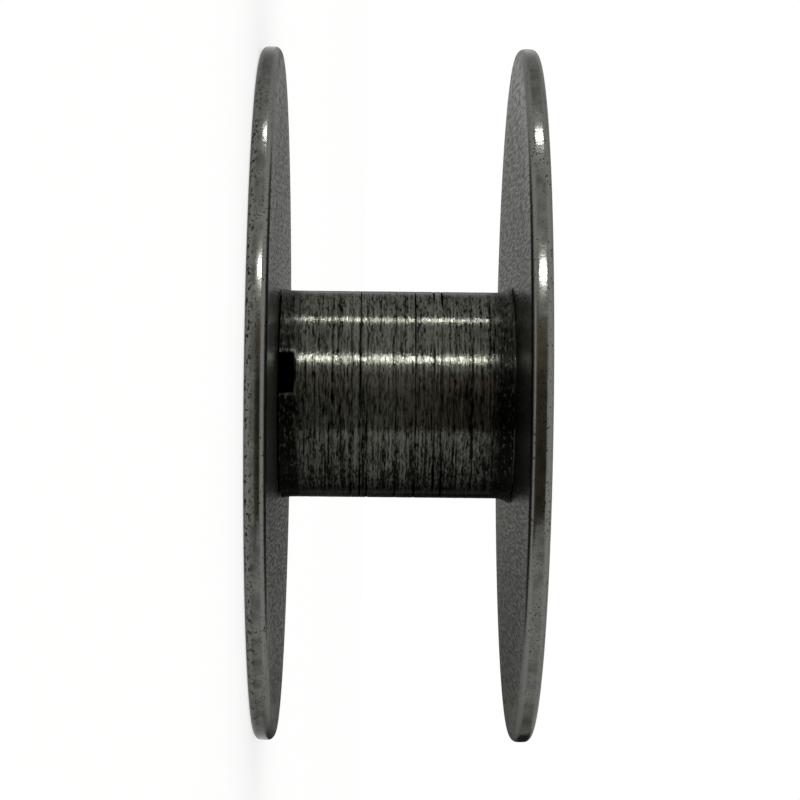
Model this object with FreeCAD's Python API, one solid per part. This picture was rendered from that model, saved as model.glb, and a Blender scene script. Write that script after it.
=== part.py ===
"""Sewing machine bobbin: a turned steel core tube with a pressed steel flange swaged onto each end.

The bobbin stands on its lower flange. The origin is the centre of that flange's outer face, +Z runs up
the bobbin's axis, and the thread notch in the core faces -Y. All sizes are in millimetres.
"""

import FreeCAD, Part
import math
import os

# Driving dimensions
flange_diameter = 25.4        # over the rims
flange_thickness = 0.78       # pressed sheet
rim_flat = 0.25               # flat band round the rim, between its two tumbled corners
winding_width = 8.5           # clear space between the two flanges
bore_diameter = 6.2           # runs on a 6 mm post
spigot_wall = 0.4             # wall of the core where it passes through a flange
shoulder_height = 0.3         # step from the spigot up to the barrel, which seats the flange
seat_width = 0.14             # ring of the shoulder that bears on the flange
seat_relief = 0.07            # fine open crevice outside that ring
swage_depth = 0.22            # 45 degree countersink that the swaged end of the core fills
swage_recess = 0.04           # the swaged end lies this far below the flange's outer face
bore_chamfer = 0.15           # lead-in at both ends of the bore
flare_length = 0.6            # the barrel flares out over this length at each end
lower_flare_rise = 0.06       # how far it flares at the notched end
upper_flare_rise = 0.19       # how far it flares at the plain end, where it was pressed harder
notch_width = 1.45            # thread notch, measured round the barrel
notch_length = 0.57           # thread notch, measured along the barrel from the flange
notch_edge_break = 0.05       # deburred edge round the notch

# Derived places
rim_radius = flange_diameter / 2
bore_radius = bore_diameter / 2
spigot_radius = bore_radius + spigot_wall
barrel_radius = spigot_radius + shoulder_height
seat_radius = spigot_radius + seat_width
lower_face = flange_thickness
upper_face = lower_face + winding_width
overall_height = upper_face + flange_thickness
swage_radius = spigot_radius + swage_depth


def point(radius, height):
    """A point of a half section, which lies in the XZ plane."""
    return FreeCAD.Vector(radius, 0, height)


def lines(points):
    """Straight edges from each point to the next."""
    return [Part.LineSegment(a, b).toShape() for a, b in zip(points, points[1:])]


def arc(start, middle, end):
    """The round edge through three points."""
    return Part.Arc(start, middle, end).toShape()


def turned(edges):
    """The solid that a closed half section makes about the Z axis."""
    section = Part.Face(Part.Wire(edges))
    return section.revolve(FreeCAD.Vector(0, 0, 0), FreeCAD.Vector(0, 0, 1), 360)


def flare(face, inward, rise):
    """The barrel's flared end beside a flange face: a hollow arc from the lip down to the plain barrel.

    inward is +1 where the barrel runs up from the face, and -1 where it runs down from it.
    """
    run = flare_length - seat_relief
    radius = (run ** 2 + rise ** 2) / (2 * rise)
    half_turn = math.asin(run / radius) / 2
    foot = face + inward * flare_length
    lip = point(barrel_radius + rise, face + inward * seat_relief)
    middle = point(
        barrel_radius + radius * (1 - math.cos(half_turn)),
        foot - inward * radius * math.sin(half_turn),
    )
    return lip, middle, point(barrel_radius, foot)


def core_section():
    """Half section of the core: swaged ends, spigots, seats, flared barrel and chamfered bore."""
    low_lip, low_middle, low_foot = flare(lower_face, 1, lower_flare_rise)
    high_lip, high_middle, high_foot = flare(upper_face, -1, upper_flare_rise)
    low_end = swage_recess
    high_end = overall_height - swage_recess
    mouth_radius = bore_radius + bore_chamfer
    lower_end = [
        point(bore_radius, low_end + bore_chamfer),
        point(mouth_radius, low_end),
        point(swage_radius - swage_recess, low_end),
        point(spigot_radius, swage_depth),
        point(spigot_radius, lower_face),
        point(seat_radius, lower_face),
        point(seat_radius, lower_face + seat_relief),
        low_lip,
    ]
    upper_end = [
        high_lip,
        point(seat_radius, upper_face - seat_relief),
        point(seat_radius, upper_face),
        point(spigot_radius, upper_face),
        point(spigot_radius, overall_height - swage_depth),
        point(swage_radius - swage_recess, high_end),
        point(mouth_radius, high_end),
        point(bore_radius, high_end - bore_chamfer),
        lower_end[0],
    ]
    return [
        *lines(lower_end),
        arc(low_lip, low_middle, low_foot),
        *lines([low_foot, high_foot]),
        arc(high_foot, high_middle, high_lip),
        *lines(upper_end),
    ]


def notch_cutter():
    """What milling removes for the thread notch: straight walls, bevelled where they meet the barrel."""
    half = notch_width / 2
    top = lower_face + notch_length
    outside = barrel_radius + lower_flare_rise + notch_edge_break
    side_bevel = math.sqrt(barrel_radius ** 2 - half ** 2) - notch_edge_break
    end_bevel = barrel_radius - notch_edge_break
    mouth = half + outside - side_bevel
    right_side = [(half, 0), (half, -side_bevel), (mouth, -outside)]
    left_side = [(-x, y) for x, y in reversed(right_side)]
    outline = [FreeCAD.Vector(x, y, 0) for x, y in right_side + left_side + right_side[:1]]
    prism = Part.Face(Part.Wire(lines(outline))).extrude(FreeCAD.Vector(0, 0, overall_height))
    clear = 2 * barrel_radius
    section = [
        point(0, lower_face),
        point(clear, lower_face),
        point(clear, top + clear - end_bevel),
        point(end_bevel, top),
        point(0, top),
        point(0, lower_face),
    ]
    return prism.common(turned(lines(section)))


def core_tube():
    """Core turned from bar, with the thread notch milled through its wall."""
    return turned(core_section()).cut(notch_cutter())


def flange():
    """Lower flange: a flat disc with a tumbled rim, and a hole countersunk on its outer face."""
    corner = (flange_thickness - rim_flat) / 2
    slant = corner * (1 - math.sqrt(0.5))
    outer_corner = [
        point(rim_radius - corner, 0),
        point(rim_radius - slant, slant),
        point(rim_radius, corner),
    ]
    inner_corner = [
        point(rim_radius, flange_thickness - corner),
        point(rim_radius - slant, flange_thickness - slant),
        point(rim_radius - corner, flange_thickness),
    ]
    rest = [
        inner_corner[-1],
        point(spigot_radius, flange_thickness),
        point(spigot_radius, swage_depth),
        point(swage_radius, 0),
        outer_corner[0],
    ]
    return turned([
        arc(*outer_corner),
        *lines([outer_corner[-1], inner_corner[0]]),
        arc(*inner_corner),
        *lines(rest),
    ])


def turned_over(shape):
    """A copy of a lower piece, turned over to the bobbin's upper end."""
    copy = shape.copy()
    copy.rotate(FreeCAD.Vector(0, 0, overall_height / 2), FreeCAD.Vector(1, 0, 0), 180)
    return copy


pieces = {
    "core_tube": core_tube(),
    "lower_flange": flange(),
    "upper_flange": turned_over(flange()),
}
os.makedirs("parts", exist_ok=True)
for name, shape in pieces.items():
    shape.exportStep(os.path.join("parts", name + ".step"))
    print(name, "valid", shape.isValid(), "volume", round(shape.Volume, 3))
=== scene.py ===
"""Looks of a steel sewing machine bobbin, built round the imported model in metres.

The bobbin stands on its lower flange with its axis along +Z and its thread notch facing -Y.
"""

import math

import bmesh
import bpy
from mathutils import Matrix, Vector, noise


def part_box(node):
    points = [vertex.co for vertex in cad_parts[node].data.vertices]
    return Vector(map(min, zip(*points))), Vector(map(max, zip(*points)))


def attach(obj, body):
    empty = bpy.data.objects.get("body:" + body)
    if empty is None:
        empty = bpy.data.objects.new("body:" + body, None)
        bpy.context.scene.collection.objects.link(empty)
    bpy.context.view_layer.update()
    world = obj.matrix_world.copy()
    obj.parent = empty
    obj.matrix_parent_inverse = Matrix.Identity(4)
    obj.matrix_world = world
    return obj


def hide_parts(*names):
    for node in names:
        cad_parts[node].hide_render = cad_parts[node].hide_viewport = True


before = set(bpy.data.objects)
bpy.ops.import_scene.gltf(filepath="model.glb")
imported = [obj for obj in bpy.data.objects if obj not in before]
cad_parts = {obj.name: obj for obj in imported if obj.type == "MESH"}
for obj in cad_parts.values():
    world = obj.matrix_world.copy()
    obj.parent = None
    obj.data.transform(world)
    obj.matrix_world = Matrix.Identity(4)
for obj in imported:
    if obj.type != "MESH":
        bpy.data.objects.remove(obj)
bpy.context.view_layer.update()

# Core tube
# A short steel tube turned from bar, left with the rings of the lathe tool round its barrel and scored
# by years of thread. A notch for the thread's end is milled through its wall beside the lower flange.
# Its thin ends pass through the flanges and are swaged over in their countersinks.
MM = 0.001
core_low, core_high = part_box("core_tube")
lower_low, lower_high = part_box("lower_flange")
upper_low, upper_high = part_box("upper_flange")
lower_face = lower_high.z
upper_face = upper_low.z
flare_length = 0.6 * MM
lower_flare_rise = 0.06 * MM
upper_flare_rise = 0.19 * MM
barrel_radius = core_high.x - upper_flare_rise
shoulder_height = 0.3 * MM
spigot_radius = barrel_radius - shoulder_height
spigot_wall = 0.4 * MM
bore_radius = spigot_radius - spigot_wall
bore_chamfer = 0.15 * MM
seat_width = 0.14 * MM
seat_radius = spigot_radius + seat_width
seat_relief = 0.07 * MM
swage_depth = 0.22 * MM
notch_width = 1.45 * MM
notch_length = 0.57 * MM
notch_top = lower_face + notch_length
notch_edge_break = 0.05 * MM
sharp_edge = math.radians(32)


def turned_mesh(name, outline, segments):
    """A closed mesh made by turning a closed outline of (radius, height) points about the Z axis."""
    rings = len(outline)
    points = []
    for step in range(segments):
        turn = math.tau * step / segments
        points += [(r * math.cos(turn), r * math.sin(turn), z) for r, z in outline]
    faces = []
    for step in range(segments):
        here = step * rings
        there = (step + 1) % segments * rings
        for ring in range(rings):
            after = (ring + 1) % rings
            faces.append((here + ring, there + ring, there + after, here + after))
    mesh = bpy.data.meshes.new(name)
    mesh.from_pydata(points, [], faces)
    return mesh


def flare(face, inward, rise, steps=8):
    """Outline of a flared barrel end, from its lip beside a flange down to the plain barrel."""
    run = flare_length - seat_relief
    radius = (run ** 2 + rise ** 2) / (2 * rise)
    turn = math.asin(run / radius)
    foot = face + inward * flare_length
    angles = [turn * (1 - step / steps) for step in range(steps)]
    return [
        (barrel_radius + radius * (1 - math.cos(a)), foot - inward * radius * math.sin(a)) for a in angles
    ]


def core_outline(spacing):
    """Outline of the core, with the plain barrel split into close rings that carry the tool marks."""
    low_end, high_end = core_low.z, core_high.z
    mouth = bore_radius + bore_chamfer
    recess = low_end - lower_low.z
    swage_lip = spigot_radius + swage_depth - recess
    first = lower_face + flare_length
    last = upper_face - flare_length
    count = round((last - first) / spacing)
    barrel = [(barrel_radius, first + (last - first) * ring / count) for ring in range(count + 1)]
    return [
        (bore_radius, low_end + bore_chamfer),
        (mouth, low_end),
        (swage_lip, low_end),
        (spigot_radius, lower_low.z + swage_depth),
        (spigot_radius, lower_face),
        (seat_radius, lower_face),
        (seat_radius, lower_face + seat_relief),
        *flare(lower_face, 1, lower_flare_rise),
        *barrel,
        *reversed(flare(upper_face, -1, upper_flare_rise)),
        (seat_radius, upper_face - seat_relief),
        (seat_radius, upper_face),
        (spigot_radius, upper_face),
        (spigot_radius, upper_high.z - swage_depth),
        (swage_lip, high_end),
        (mouth, high_end),
        (bore_radius, high_end - bore_chamfer),
    ]


def mark_barrel(mesh):
    """Cuts the lathe's rings, broken streaks and a few deep scores into the barrel's skin."""
    skin_depth = 0.01 * MM
    streak = 0.0026 * MM
    ring_length, ring_pitch = 6 * MM, 0.045 * MM
    dash_length, dash_pitch = 0.5 * MM, 0.05 * MM
    wear_length, wear_step = 1.5 * MM, MM / 9
    wear_level = 0.6
    score_depth = 0.012 * MM
    score_width = 0.035 * MM
    scores = [3.41 * MM, 3.73 * MM, 3.98 * MM, 5.00 * MM, 5.70 * MM, 6.38 * MM, 6.67 * MM]
    for vertex in mesh.vertices:
        x, y, z = vertex.co
        radius = math.hypot(x, y)
        if radius < barrel_radius - skin_depth:
            continue
        rings = noise.noise((x / ring_length, y / ring_length, z / ring_pitch))
        dashes = noise.noise((x / dash_length, y / dash_length, z / dash_pitch))
        depth = streak * (rings + dashes)
        for height in scores:
            worn = wear_level + noise.noise((x / wear_length, y / wear_length, height / wear_step))
            depth -= score_depth * max(0, worn) * math.exp(-((z - height) / score_width) ** 2)
        scale = 1 + depth / radius
        vertex.co.x = x * scale
        vertex.co.y = y * scale


def notch_cutter():
    """What milling removed for the notch: straight walls that widen to a bevel at the barrel's skin."""
    half = notch_width / 2
    outside = barrel_radius + lower_flare_rise + notch_edge_break
    wall = math.sqrt(barrel_radius ** 2 - half ** 2) - notch_edge_break
    spread = outside - wall
    levels = [
        (half, -bore_radius / 2, notch_top),
        (half, -wall, notch_top),
        (half + spread, -outside, notch_top + spread),
    ]
    made = bmesh.new()
    rings = []
    for x, y, z in levels:
        corners = [(-x, y, lower_face), (x, y, lower_face), (x, y, z), (-x, y, z)]
        rings.append([made.verts.new(corner) for corner in corners])
    made.faces.new(rings[0])
    made.faces.new(reversed(rings[-1]))
    for near, far in zip(rings, rings[1:]):
        for side in range(4):
            other = (side + 1) % 4
            made.faces.new((near[side], far[side], far[other], near[other]))
    bmesh.ops.recalc_face_normals(made, faces=made.faces)
    mesh = bpy.data.meshes.new("notch_cutter")
    made.to_mesh(mesh)
    made.free()
    return mesh


def shown(name, mesh):
    """A new object that shows a mesh."""
    made = bpy.data.objects.new(name, mesh)
    bpy.context.scene.collection.objects.link(made)
    return made


def cut_out(piece, cutter_mesh):
    """Takes the cutter's space out of a piece and deletes the cutter."""
    cutter = shown("cutter", cutter_mesh)
    cut = piece.modifiers.new("cut", "BOOLEAN")
    cut.object = cutter
    cut.operation = "DIFFERENCE"
    cut.solver = "EXACT"
    bpy.context.view_layer.update()
    result = bpy.data.meshes.new_from_object(piece.evaluated_get(bpy.context.evaluated_depsgraph_get()))
    piece.modifiers.clear()
    piece.data = result
    bpy.data.objects.remove(cutter)


def finish_edges(mesh):
    """Smooth shading that breaks only at sharp edges."""
    mesh.shade_smooth()
    mesh.set_sharp_from_angle(angle=sharp_edge)


def linear(hex_colour):
    """An sRGB hex colour as linear RGBA."""
    parts = [int(hex_colour[i:i + 2], 16) / 255 for i in (1, 3, 5)]
    return [p / 12.92 if p <= 0.04045 else ((p + 0.055) / 1.055) ** 2.4 for p in parts] + [1.0]


def add(tree, kind, links=None, output=0, **settings):
    """Adds a node with its settings, sets or links the inputs named in links, and gives one output."""
    made = tree.nodes.new("ShaderNode" + kind)
    for name, value in settings.items():
        setattr(made, name, value)
    for socket, value in (links or {}).items():
        if isinstance(value, bpy.types.NodeSocket):
            tree.links.new(value, made.inputs[socket])
        else:
            made.inputs[socket].default_value = value
    return made.outputs[output] if made.outputs else None


def new_material(name):
    """An empty node material and its tree."""
    material = bpy.data.materials.new(name)
    material.use_nodes = True
    material.node_tree.nodes.clear()
    return material, material.node_tree


def places(tree):
    """Object place in millimetres, its height, its level part, and its distance from the axis."""
    place = add(tree, "TexCoord", output="Object")
    millimetres = add(tree, "VectorMath", {0: place, "Scale": 1 / MM}, operation="SCALE")
    height = add(tree, "SeparateXYZ", {0: millimetres}, "Z")
    level = add(tree, "VectorMath", {0: millimetres, 1: (1, 1, 0)}, operation="MULTIPLY")
    radius = add(tree, "VectorMath", {0: level}, "Value", operation="LENGTH")
    return millimetres, height, level, radius


def turned_steel():
    """Turned steel, dark with age. Fine rings, dashes and burrs break each light into a line of sparks.
    Shade is painted into the colour beside the flanges and along the side away from the lamps. The scores
    and the bore behind the notch are painted nearly black as shade, with their reflection dimmed. The notch
    has worn bright edges."""
    skin = barrel_radius / MM
    middle = (lower_face + upper_face) / 2 / MM
    half_barrel = (upper_face - lower_face) / 2 / MM
    notch_top_mm = notch_top / MM
    notch_half = (notch_width / 2 / MM, skin / 2, notch_length / 2 / MM)
    notch_centre = (0, -skin, notch_top_mm - notch_half[2])
    # The side away from the lamps, toward which shade is painted into the barrel's colour, and that painted
    # shade's colour
    shade_way = (0.98, 0.2, 0)
    shade_colour = "#12110f"
    end_raggedness = 0.9
    end_dullness = 0.2
    burr_height = 0.005 * MM
    material, tree = new_material("turned_steel")
    place, height, level, radius = places(tree)

    # The marks of the tool and of wear, with the size of their patches in millimetres and their detail
    marks = []
    for size, detail in (
        ((0.5, 0.5, 0.06), 2.0),
        ((5.0, 5.0, 0.09), 2.0),
        ((0.2, 0.2, 0.06), 2.0),
        ((0.5, 0.5, 0.3), 3.0),
        ((0.12, 0.12, 0.035), 1.0),
    ):
        scale = [1 / length for length in size]
        scaled = add(tree, "VectorMath", {0: place, 1: scale}, operation="MULTIPLY")
        look = {"Vector": scaled, "Scale": 1.0, "Detail": detail, "Distortion": 0.4}
        marks.append(add(tree, "TexNoise", look, "Fac"))
    dashes, rings, flecks, blotches, burrs = marks

    # How far a place lies outside the notch, from the barrel's middle, and toward the side where shade is
    # painted
    past = add(tree, "VectorMath", {0: place, 1: notch_centre}, operation="SUBTRACT")
    past = add(tree, "VectorMath", {0: past}, operation="ABSOLUTE")
    past = add(tree, "VectorMath", {0: past, 1: notch_half}, operation="SUBTRACT")
    past_x, past_y, past_z = add(tree, "SeparateXYZ", {0: past}).node.outputs
    off_notch = add(tree, "Math", {0: past_x, 1: past_y}, operation="MAXIMUM")
    off_notch = add(tree, "Math", {0: off_notch, 1: past_z}, operation="MAXIMUM")
    off_middle = add(tree, "Math", {0: height, 1: middle}, operation="SUBTRACT")
    off_middle = add(tree, "Math", {0: off_middle}, operation="ABSOLUTE")
    ragged = {0: blotches, 1: end_raggedness, 2: off_middle}
    ragged_end = add(tree, "Math", ragged, operation="MULTIPLY_ADD")
    aside = add(tree, "VectorMath", {0: level, 1: shade_way}, "Value", operation="DOT_PRODUCT")

    # Each area has its full strength where every value is past its second bound, and none short of its first
    outside = (radius, skin - 0.08, skin - 0.05)
    inside = (radius, skin - 0.05, skin - 0.08)
    by_flange = (ragged_end, half_barrel - 0.5, half_barrel - 0.1)
    areas = {}
    for name, strength, bounds in (
        # Painted shade: the side away from the lamps is darkened, and its far strip most of all
        ("shaded_side", 0.22, [(aside, 0.9, 2.8)]),
        ("shaded_strip", 0.7, [(aside, 2.7, 3.5)]),
        ("end", 1.0, [by_flange, outside]),
        # Painted shade beside the flanges, mostly on the side away from the lamps
        ("shaded_end", 1.0, [by_flange, outside, (aside, -5.0, 0.2), (flecks, 0.72, 0.56)]),
        ("worn_edge", 0.75, [(off_notch, 0.16, 0.05), (flecks, 0.36, 0.58)]),
        # Painted shade: the scores are coloured nearly black
        ("shaded_score", 1.0, [(radius, skin - 0.003, skin - 0.010), (off_notch, 0.16, 0.2), outside]),
        ("swage", 0.75, [inside]),
        # Painted shade: the bore behind the notch is coloured nearly black
        ("shaded_bore", 1.0, [(height, notch_top_mm + 0.3, notch_top_mm), (height, 0.15, 0.35), inside]),
    ):
        for value, clear, full in bounds:
            limits = {"Value": value, "From Min": clear, "From Max": full, "To Max": strength}
            strength = add(tree, "MapRange", limits)
        areas[name] = strength
    # Where the scores and the bore behind the notch are painted black as shade
    painted_black = add(tree, "Math", {0: areas["shaded_score"], 1: areas["shaded_bore"]}, operation="MAXIMUM")

    tone = 0.0
    # The painted shade on the side away from the lamps also leaves fewer bright marks there
    for mark, share in ((dashes, 0.4), (rings, 0.32), (flecks, 0.28), (areas["shaded_side"], -0.30)):
        tone = add(tree, "Math", {0: mark, 1: share, 2: tone}, operation="MULTIPLY_ADD")
    bright = add(tree, "MapRange", {"Value": tone, "From Min": 0.41, "From Max": 0.59})
    colour = linear("#0c0c0a")
    for share, coat in (
        (bright, "#696a61"),
        (areas["swage"], "#51514b"),
        # Shade painted as a dark colour: the side away from the lamps, its far strip, and beside the flanges
        (areas["shaded_side"], shade_colour),
        (areas["shaded_strip"], shade_colour),
        (areas["shaded_end"], shade_colour),
        (areas["worn_edge"], "#85867f"),
        # Painted shade: nearly black in the scores and the bore behind the notch
        (painted_black, "#050505"),
    ):
        over = {"Factor": share, "A": colour, "B": linear(coat)}
        colour = add(tree, "Mix", over, "Result", data_type="RGBA")
    # Where shade is painted black, the reflection is dimmed too
    sheen = {"Factor": painted_black, "A": linear("#b9b9b9"), "B": linear("#202020")}
    rubbed = {"Value": dashes, "From Min": 0.4, "From Max": 0.6, "To Min": 0.14, "To Max": 0.31}
    gloss = add(tree, "MapRange", rubbed)
    dulled = {0: areas["end"], 1: end_dullness, 2: gloss}
    steel = add(tree, "BsdfPrincipled", {
        "Base Color": colour,
        "Metallic": 1.0,
        "Roughness": add(tree, "Math", dulled, operation="MULTIPLY_ADD"),
        "Specular Tint": add(tree, "Mix", sheen, "Result", data_type="RGBA"),
        "Anisotropic": 1.0,
        "Anisotropic Rotation": 0.25,
        "Normal": add(tree, "Bump", {"Height": burrs, "Distance": burr_height}),
        "Tangent": add(tree, "Tangent", direction_type="RADIAL", axis="Z"),
    })
    add(tree, "OutputMaterial", {"Surface": steel})
    return material


ring_spacing = 0.026 * MM
barrel_segments = 232
barrel_mesh = turned_mesh("core", core_outline(ring_spacing), barrel_segments)
mark_barrel(barrel_mesh)
core = shown("core", barrel_mesh)
cut_out(core, notch_cutter())
finish_edges(core.data)
core.data.materials.clear()
core.data.materials.append(turned_steel())
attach(core, "root")
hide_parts("core_tube")

# Flanges
# Two flat discs blanked from steel sheet, countersunk outside for the swaged core, with their rims
# tumbled smooth and bright. Handling has left the faces dull and mottled, and the rims finely pitted.
rim_radius = lower_high.x
sheet = lower_high.z - lower_low.z
rim_flat = 0.25 * MM
rim_segments = 360


def flange_outline(outer, inward):
    """Outline of a flange from its outer face: inward is +1 for the lower flange and -1 for the upper."""
    corner = (sheet - rim_flat) / 2
    corner_run = 0.34 * MM
    corner_steps = 14
    crown = 0.007 * MM
    dub_width = 0.5 * MM
    dub_depth = 0.012 * MM
    dub_rings = 6
    plain_rings = 12
    rounded = rim_radius - crown - corner_run

    def at(radius, depth):
        return radius, outer + inward * depth

    def face(start, depth, into):
        """A flat face from its hole outward, which falls away a little beside the rim."""
        flat_end = rounded - dub_width
        plain = [at(start + (flat_end - start) * ring / plain_rings, depth) for ring in range(plain_rings)]
        shares = [ring / dub_rings for ring in range(dub_rings)]
        return plain + [at(flat_end + dub_width * t, depth + into * dub_depth * t ** 2) for t in shares]

    def rounding(low, high, start):
        """A quarter round between two depths, from its start angle."""
        turns = [math.radians(start + 90 * step / corner_steps) for step in range(corner_steps + 1)]
        middle = high if start < 0 else low
        height = high - low
        return [at(rounded + corner_run * math.cos(t), middle + height * math.sin(t)) for t in turns]

    outline = [at(spigot_radius, swage_depth), *face(spigot_radius, sheet, -1)]
    outline += reversed(rounding(sheet - corner, sheet - dub_depth, 0))
    outline.append(at(rim_radius, sheet / 2))
    outline += reversed(rounding(dub_depth, corner, -90))
    outline += reversed(face(spigot_radius + swage_depth, 0, 1))
    return outline if inward > 0 else list(reversed(outline))


def pressed_steel():
    """Dull sheet steel. The faces show the grain of rolling, scuffed by thread and brighter toward the edge.
    The rim is tumbled smooth, with bright corners and fine pits, and the lower rim's outer edge is dark and
    rough."""
    rim = rim_radius / MM
    middle = (lower_low.z + upper_high.z) / 2 / MM
    rolling_turn = math.radians(-12)
    pit_clustering = 0.3
    pit_dirt = "#26251f"
    face_grain, rim_grain = 0.008 * MM, 0.002 * MM
    sheet_roughness, band_roughness = 0.28, 0.15
    material, tree = new_material("pressed_steel")
    place, height, level, radius = places(tree)
    rolling = add(tree, "VectorRotate", {"Vector": level, "Angle": rolling_turn}, rotation_type="Z_AXIS")

    # The marks on the sheet, with the size of their patches in millimetres and their detail. The grain of
    # rolling comes first, drawn coarser than a real mill leaves it, so that it shows.
    marks = []
    for spot, size, detail in (
        (rolling, (0.09, 1.6, 1.0), 1.0),
        (place, (0.11, 0.11, 0.11), 2.0),
        (place, (0.7, 0.7, 0.7), 4.0),
        (place, (0.07, 0.07, 0.07), 1.0),
        (place, (0.16, 0.16, 0.11), 2.0),
    ):
        scale = [1 / length for length in size]
        scaled = add(tree, "VectorMath", {0: spot, 1: scale}, operation="MULTIPLY")
        look = {"Vector": scaled, "Scale": 1.0, "Detail": detail, "Distortion": 0.4}
        marks.append(add(tree, "TexNoise", look, "Fac"))
    rolled, fine, broad, specks, scabs = marks
    clustered = {0: broad, 1: pit_clustering, 2: specks}
    pitted = add(tree, "Math", clustered, operation="MULTIPLY_ADD")

    # How far a place lies from the middle of its sheet, whichever flange it is on
    off_sheet = height
    for level_height in (middle, middle - sheet / 2 / MM):
        off_sheet = add(tree, "Math", {0: off_sheet, 1: level_height}, operation="SUBTRACT")
        off_sheet = add(tree, "Math", {0: off_sheet}, operation="ABSOLUTE")

    # Each area has its full strength where every value is past its second bound, and none short of its first
    by_rim = (radius, rim - 0.4, rim - 0.15)
    areas = {}
    for name, strength, bounds in (
        ("rim", 1.0, [by_rim]),
        ("band", 1.0, [(off_sheet, 0.22, 0.13), by_rim]),
        ("bright_band", 1.0, [(broad, 0.35, 0.65), by_rim]),
        ("corner", 1.0, [(off_sheet, 0.13, 0.22), by_rim]),
        ("rubbed", 0.06, [(radius, rim - 3.0, rim - 0.8)]),
        ("pit", 1.0, [(pitted, 0.78, 0.86)]),
        ("rough_edge", 1.0, [(scabs, 0.55, 0.61), (height, 0.40, 0.16), by_rim]),
    ):
        for value, clear, full in bounds:
            limits = {"Value": value, "From Min": clear, "From Max": full, "To Max": strength}
            strength = add(tree, "MapRange", limits)
        areas[name] = strength

    tone = areas["rubbed"]
    for mark, share in ((rolled, 0.8), (broad, 0.1), (fine, 0.1)):
        tone = add(tree, "Math", {0: mark, 1: share, 2: tone}, operation="MULTIPLY_ADD")
    bright = add(tree, "MapRange", {"Value": tone, "From Min": 0.40, "From Max": 0.64})
    shiny = add(tree, "MapRange", {"Value": tone, "From Min": 0.43, "From Max": 0.60})
    colour = linear("#62635e")
    for share, coat in (
        (bright, "#747570"),
        (areas["rim"], "#4c4c48"),
        (areas["bright_band"], "#686864"),
        (areas["corner"], "#6e6f6a"),
        (areas["pit"], pit_dirt),
        (areas["rough_edge"], pit_dirt),
    ):
        over = {"Factor": share, "A": colour, "B": linear(coat)}
        colour = add(tree, "Mix", over, "Result", data_type="RGBA")
    sheen = linear("#a2a2a2")
    for share, coat in ((shiny, "#e4e4e4"), (areas["rim"], "#bcbcbc")):
        over = {"Factor": share, "A": sheen, "B": linear(coat)}
        sheen = add(tree, "Mix", over, "Result", data_type="RGBA")
    depth = {0: areas["rim"], 1: rim_grain - face_grain, 2: face_grain}
    grain_depth = add(tree, "Math", depth, operation="MULTIPLY_ADD")
    dullness = {0: areas["band"], 1: band_roughness - sheet_roughness, 2: sheet_roughness}
    steel = add(tree, "BsdfPrincipled", {
        "Base Color": colour,
        "Metallic": 1.0,
        "Roughness": add(tree, "Math", dullness, operation="MULTIPLY_ADD"),
        "Specular Tint": sheen,
        "Normal": add(tree, "Bump", {"Height": fine, "Distance": grain_depth}),
    })
    add(tree, "OutputMaterial", {"Surface": steel})
    return material


sheet_steel = pressed_steel()
for name, outer, inward in (("lower_disc", lower_low.z, 1), ("upper_disc", upper_high.z, -1)):
    disc = shown(name, turned_mesh(name, flange_outline(outer, inward), rim_segments))
    finish_edges(disc.data)
    disc.data.materials.append(sheet_steel)
    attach(disc, "root")
    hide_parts(name.replace("disc", "flange"))

# Camera
# It looks level at the bobbin's side from a hand's breadth away, turned a quarter so that the axis lies
# across the picture with the notched end on the left.
centre = Vector((0, 0, (lower_low.z + upper_high.z) / 2))
axis = Vector((0, 0, 1))
azimuth = math.radians(12)
roll = math.radians(0.6)
toward = Vector((math.sin(azimuth), -math.cos(azimuth), 0))
picture_up = toward.cross(axis)
camera_away = 98.5 * MM
camera_left = 0.8 * MM
aim_down = 0.2 * MM
aim_right = 0.16 * MM
place = centre + toward * camera_away - axis * camera_left
aim = centre - picture_up * aim_down + axis * aim_right
lens = bpy.data.cameras.new("camera")
lens.sensor_width = 36
lens.lens = 120
lens.clip_start = 1 * MM
lens.clip_end = 10
camera = bpy.data.objects.new("camera", lens)
bpy.context.scene.collection.objects.link(camera)
bpy.context.scene.camera = camera
back = (place - aim).normalized()
right = (axis - back * back.z).normalized()
up = back.cross(right)
turned = Matrix((right, up, back)).transposed() @ Matrix.Rotation(roll, 3, "Z")
camera.matrix_world = Matrix.Translation(place) @ turned.to_4x4()

# Studio
# A pale table in a white room. Two narrow strip lamps on the camera's upper side draw the bright lines along
# the barrel and the glints on the rims. Plain cards round the bobbin, which only its reflections see, draw
# the darker stretches of the barrel, the rims and the faces.


def bearing(degrees):
    """Level direction at an angle from the camera, turning toward the picture's upper side."""
    turn = math.radians(degrees)
    return toward * math.cos(turn) + picture_up * math.sin(turn)


def strip_lamp(name, degrees, width, radiance):
    """A narrow upright lamp that stands on the table and faces the bobbin."""
    away = 400 * MM
    height = 80 * MM
    data = bpy.data.lights.new(name, "AREA")
    data.shape = "RECTANGLE"
    data.size = width
    data.size_y = height
    # Blender gives an area lamp a quarter of its watts per square metre as radiance
    data.energy = radiance * 4 * width * height
    lamp = bpy.data.objects.new(name, data)
    bpy.context.scene.collection.objects.link(lamp)
    lamp.visible_camera = False
    way = bearing(degrees)
    facing = Matrix((axis.cross(way), axis, way)).transposed()
    lamp.matrix_world = Matrix.Translation(way * away + axis * height / 2) @ facing.to_4x4()


strip_lamp("upper_strip", degrees=91, width=11 * MM, radiance=65)
strip_lamp("front_strip", degrees=39.5, width=15 * MM, radiance=99)

world = bpy.data.worlds.new("white_room")
bpy.context.scene.world = world
world.use_nodes = True
room = world.node_tree
room.nodes.clear()
white = add(room, "Background", {"Color": (1, 1, 1, 1), "Strength": 1.0})
add(room, "OutputWorld", {"Surface": white})


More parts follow.
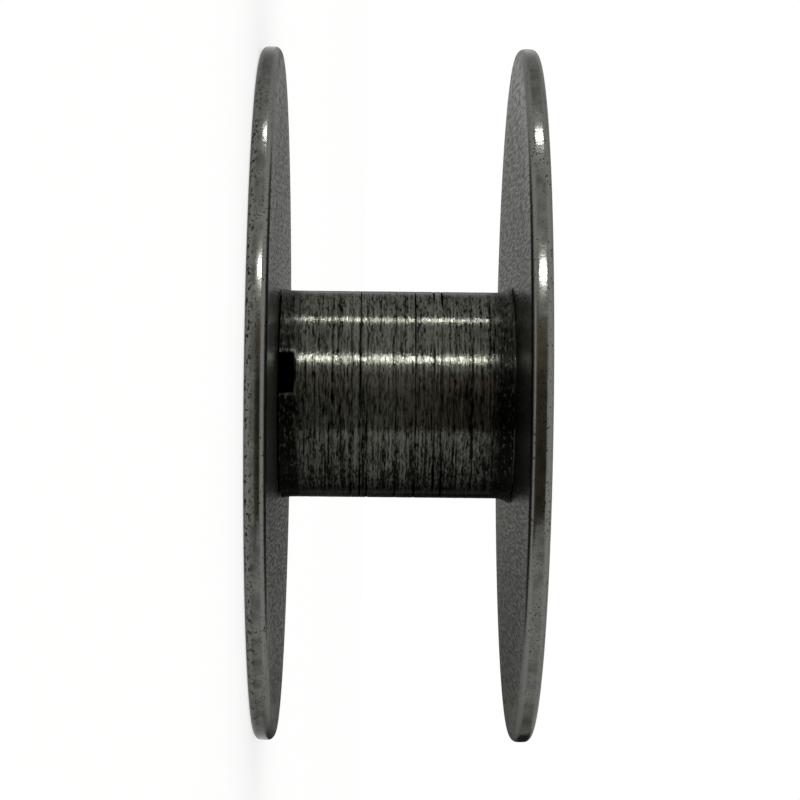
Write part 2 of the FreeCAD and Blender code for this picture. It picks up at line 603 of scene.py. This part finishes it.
def white_paper():
    """White paper: matt, so that the bobbin's shadow shows softly, and nearly white to the eye. Inside the
    bore it has only the light that falls there."""
    glow_share = 0.7
    material, tree = new_material("white_paper")
    rays = add(tree, "LightPath").node.outputs
    seen = rays["Is Camera Ray"]
    for name in ("Is Glossy Ray", "Is Transmission Ray"):
        seen = add(tree, "Math", {0: seen, 1: rays[name]}, operation="MAXIMUM")
    place = add(tree, "TexCoord", output="Object")
    off_axis = add(tree, "VectorMath", {0: place}, "Value", operation="LENGTH")
    open_table = add(tree, "Math", {0: off_axis, 1: spigot_radius}, operation="GREATER_THAN")
    share = glow_share
    for part in (seen, open_table):
        share = add(tree, "Math", {0: share, 1: part}, operation="MULTIPLY")
    matt = add(tree, "BsdfDiffuse", {"Color": linear("#fafaf8")})
    glow = add(tree, "Emission", {"Color": (1, 1, 1, 1), "Strength": 1.0})
    add(tree, "OutputMaterial", {"Surface": add(tree, "MixShader", {0: share, 1: matt, 2: glow})})
    return material


table_half = 1.0
table_gap = 0.002 * MM
table_mesh = bpy.data.meshes.new("table")
table_corners = [(-table_half, -table_half), (table_half, -table_half), (table_half, table_half),
                 (-table_half, table_half)]
table_mesh.from_pydata([(x, y, 0) for x, y in table_corners], [], [(0, 1, 2, 3)])
table_mesh.materials.append(white_paper())
table = shown("table", table_mesh)
table.location.z = lower_low.z - table_gap


def card(name, points, colour):
    """A plain card that only reflections see: it neither shows nor shades."""
    mesh = bpy.data.meshes.new(name)
    mesh.from_pydata(points, [], [tuple(range(len(points)))])
    made = shown(name, mesh)
    material, tree = new_material(name)
    plain = add(tree, "Emission", {"Color": linear(colour), "Strength": 1.0})
    add(tree, "OutputMaterial", {"Surface": plain})
    mesh.materials.append(material)
    made.visible_camera = False
    made.visible_diffuse = False
    made.visible_shadow = False


def upright(low, high, away, top):
    """Corners of a card that stands on the table between two bearings."""
    first, last = bearing(low) * away, bearing(high) * away
    return [first, last, last + axis * top, first + axis * top]


def on_table(low, high, near, far):
    """Corners of a strip of paper on the table between two bearings and two distances."""
    lift = axis * 0.01 * MM
    first, last = bearing(low), bearing(high)
    return [first * near + lift, last * near + lift, last * far + lift, first * far + lift]


card_away = 140 * MM
card_top = 42 * MM
strip_near = 20 * MM
for name, low, high, colour, strip_colour in (
    ("brown", -40, 8, "#6a6457", "#686255"),
    ("tan", 8, 24, "#ada294", "#a89e90"),
    ("pale", -143, -120, "#d9d9d6", "#d9d9d6"),
    ("slate", -170, -143, "#2e2e2c", "#747471"),
    ("grey", -180, -170, "#60605d", "#a0a09c"),
    ("light", 160, 180, "#969693", "#b2b2af"),
):
    card(name + "_card", upright(low, high, card_away, card_top), colour)
    card(name + "_strip", on_table(low, high, strip_near, card_away), strip_colour)

bpy.context.scene.view_settings.view_transform = "Standard"
